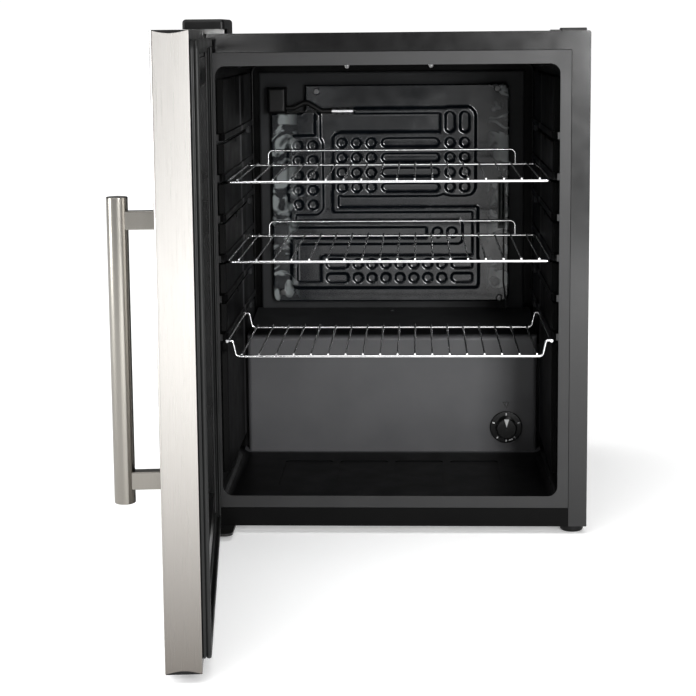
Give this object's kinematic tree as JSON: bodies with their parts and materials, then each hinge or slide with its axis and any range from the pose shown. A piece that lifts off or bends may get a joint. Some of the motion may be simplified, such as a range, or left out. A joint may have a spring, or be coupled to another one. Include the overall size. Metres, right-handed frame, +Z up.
{
  "type": "mini fridge",
  "caption": "Compact undercounter drinks fridge with a hinged glass door, bar handle, sliding wire shelves, thermostat dial and a rear compressor bay.",
  "frame": {"origin": "floor level under the centre of the cabinet's footprint", "axes": "+X to the right of someone facing the door opening, +Y from the door side towards the back, +Z up"},
  "size_m": [0.4582, 0.8787, 0.581],
  "materials": {
    "black_steel": "satin",
    "grey_steel": "satin",
    "zinc_steel": "dull zinc",
    "insulation": "rigid foam",
    "liner_black": "satin",
    "plate_black": "gloss",
    "screw_steel": "polished",
    "black_plastic": "fine grain",
    "black_rubber": "matt",
    "tube_copper": "drawn copper",
    "joint_silver": "satin",
    "dark_metal": "semi gloss",
    "white_print": "print",
    "lamp_clear": "clear",
    "shelf_wire": "bright plated",
    "door_steel": "brushed",
    "clear_glass": "clear",
    "seal_grey": "matt",
    "handle_steel": "satin",
    "bush_white": "smooth"
  },
  "bodies": {
    "cabinet": {"cabinet_shell": "black_steel", "front_bottom_rail": "black_steel", "base_plate": "zinc_steel", "bay_panel": "zinc_steel", "back_panel": "grey_steel", "foam_insulation": "insulation", "inner_liner": "liner_black", "evaporator_plate": "plate_black", "evaporator_screws": "screw_steel", "line_port_cover": "black_plastic", "line_sleeve": "black_rubber", "line_joint": "joint_silver", "capillary_line": "dark_metal", "sensor_clip": "joint_silver", "sensor_line": "dark_metal", "thermostat_body": "black_plastic", "dial_index_mark": "white_print", "lamp_lenses": "lamp_clear", "top_hinge_plate": "zinc_steel", "top_hinge_spacer": "zinc_steel", "top_hinge_pin": "screw_steel", "hinge_screws": "screw_steel", "top_hinge_cover": "black_plastic", "spare_hinge_cap": "black_plastic", "bottom_hinge_plate": "grey_steel", "bottom_hinge_pin": "screw_steel", "rear_feet": "black_plastic", "compressor_tray": "zinc_steel", "compressor_shell": "dark_metal", "compressor_mounts": "black_rubber", "compressor_bolts": "screw_steel", "relay_cover": "black_plastic", "condenser_tube": "dark_metal", "condenser_wires": "dark_metal", "condenser_brackets": "dark_metal", "filter_drier": "tube_copper", "suction_line": "tube_copper", "drain_tube": "black_plastic", "drip_tray": "black_plastic", "cord_gland": "black_rubber"},
    "door": {"door_skin": "door_steel", "door_frame": "black_plastic", "glass_panes": "clear_glass", "glass_spacer": "joint_silver", "door_end_caps": "black_plastic", "hinge_bushes": "bush_white", "door_seal": "seal_grey", "door_inner_trim": "liner_black", "handle_bar": "handle_steel", "handle_posts": "handle_steel", "handle_screws": "screw_steel"},
    "top_shelf": {"shelf_top": "shelf_wire"},
    "middle_shelf": {"shelf_middle": "shelf_wire"},
    "bottom_shelf": {"shelf_bottom": "shelf_wire"},
    "knob": {"thermostat_knob": "black_plastic", "knob_marks": "white_print", "thermostat_shaft": "screw_steel"},
    "left_foot": {"front_left_foot": "black_plastic"},
    "right_foot": {"front_right_foot": "black_plastic"}
  },
  "joints": [
    {"name": "door_hinge", "type": "hinge", "parent": "cabinet", "child": "door", "pos_m": [-0.2105, -0.2335, 0.2885], "axis": [0, 0, -1], "range_deg": [-84.5, 30]},
    {"name": "top_shelf_slide", "type": "slide", "parent": "cabinet", "child": "top_shelf", "axis": [0, -1, 0], "range_m": [0, 0.08]},
    {"name": "middle_shelf_slide", "type": "slide", "parent": "cabinet", "child": "middle_shelf", "axis": [0, -1, 0], "range_m": [0, 0.08]},
    {"name": "bottom_shelf_slide", "type": "slide", "parent": "cabinet", "child": "bottom_shelf", "axis": [0, -1, 0], "range_m": [0, 0.08]},
    {"name": "thermostat_dial", "type": "hinge", "parent": "cabinet", "child": "knob", "pos_m": [0.142, -0.0125, 0.077], "axis": [0, -1, 0], "range_deg": [-140, 140]},
    {"name": "left_foot_thread", "type": "hinge", "parent": "cabinet", "child": "left_foot", "pos_m": [-0.2075, -0.1925, 0], "axis": [0, 0, 1], "range_deg": [-360, 720]},
    {"name": "right_foot_thread", "type": "hinge", "parent": "cabinet", "child": "right_foot", "pos_m": [0.2075, -0.1925, 0], "axis": [0, 0, 1], "range_deg": [-360, 720]}
  ]
}
